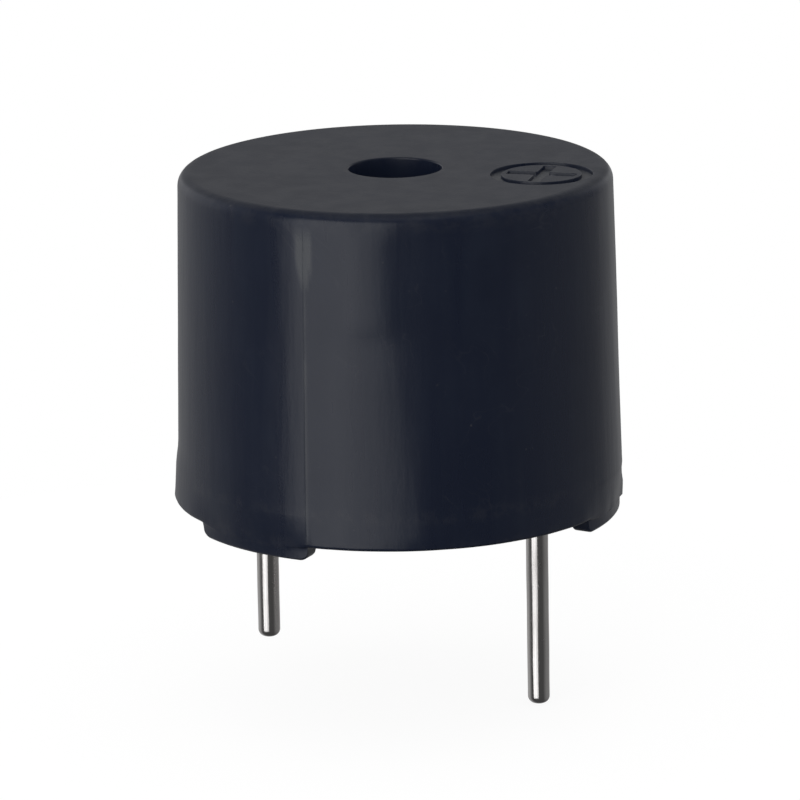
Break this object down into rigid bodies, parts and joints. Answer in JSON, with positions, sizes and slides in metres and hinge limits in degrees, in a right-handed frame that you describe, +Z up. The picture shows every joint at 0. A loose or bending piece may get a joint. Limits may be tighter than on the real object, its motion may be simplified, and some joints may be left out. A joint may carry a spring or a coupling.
{
  "type": "magnetic buzzer",
  "caption": "Round moulded magnetic buzzer for a circuit board, with a sound hole in its flat top and two straight lead pins below.",
  "frame": {"origin": "centre of the plane the feet stand on, midway between the two lead pins", "axes": "+Z up through the sound hole, +X toward the positive pin and the polarity mark"},
  "size_m": [0.0122, 0.0122, 0.0147],
  "materials": {
    "housing_plastic": "moulded black heat-resistant plastic with an even satin surface",
    "ring_plastic": "moulded dark grey plastic",
    "spring_alloy": "thin rolled and annealed nickel-iron sheet",
    "plated_iron": "soft iron with a bright zinc plating",
    "ferrite": "ground sintered ferrite, dark grey",
    "enamelled_copper": "enamelled copper wire wound in layers",
    "board_laminate": "glass-epoxy laminate under a green solder mask",
    "tinned_pin": "drawn copper-clad wire, bright tin plated",
    "package_resin": "black moulding resin",
    "chip_ceramic": "white ceramic chip under a black overglaze",
    "solder": "bright tin solder",
    "seal_resin": "cured black epoxy with a wetted edge"
  },
  "bodies": {
    "root": {"housing": "housing_plastic", "diaphragm": "spring_alloy", "armature_disc": "plated_iron", "support_ring": "ring_plastic", "ring_magnet": "ferrite", "yoke_plate": "plated_iron", "pole_core": "plated_iron", "coil_winding": "enamelled_copper", "circuit_board": "board_laminate", "positive_pin": "tinned_pin", "negative_pin": "tinned_pin", "transistor_body": "package_resin", "transistor_leads": "tinned_pin", "resistor_body": "chip_ceramic", "resistor_caps": "solder", "pin_solder": "solder", "lead_solder": "solder", "component_solder": "solder", "edge_seal": "seal_resin"}
  },
  "joints": []
}
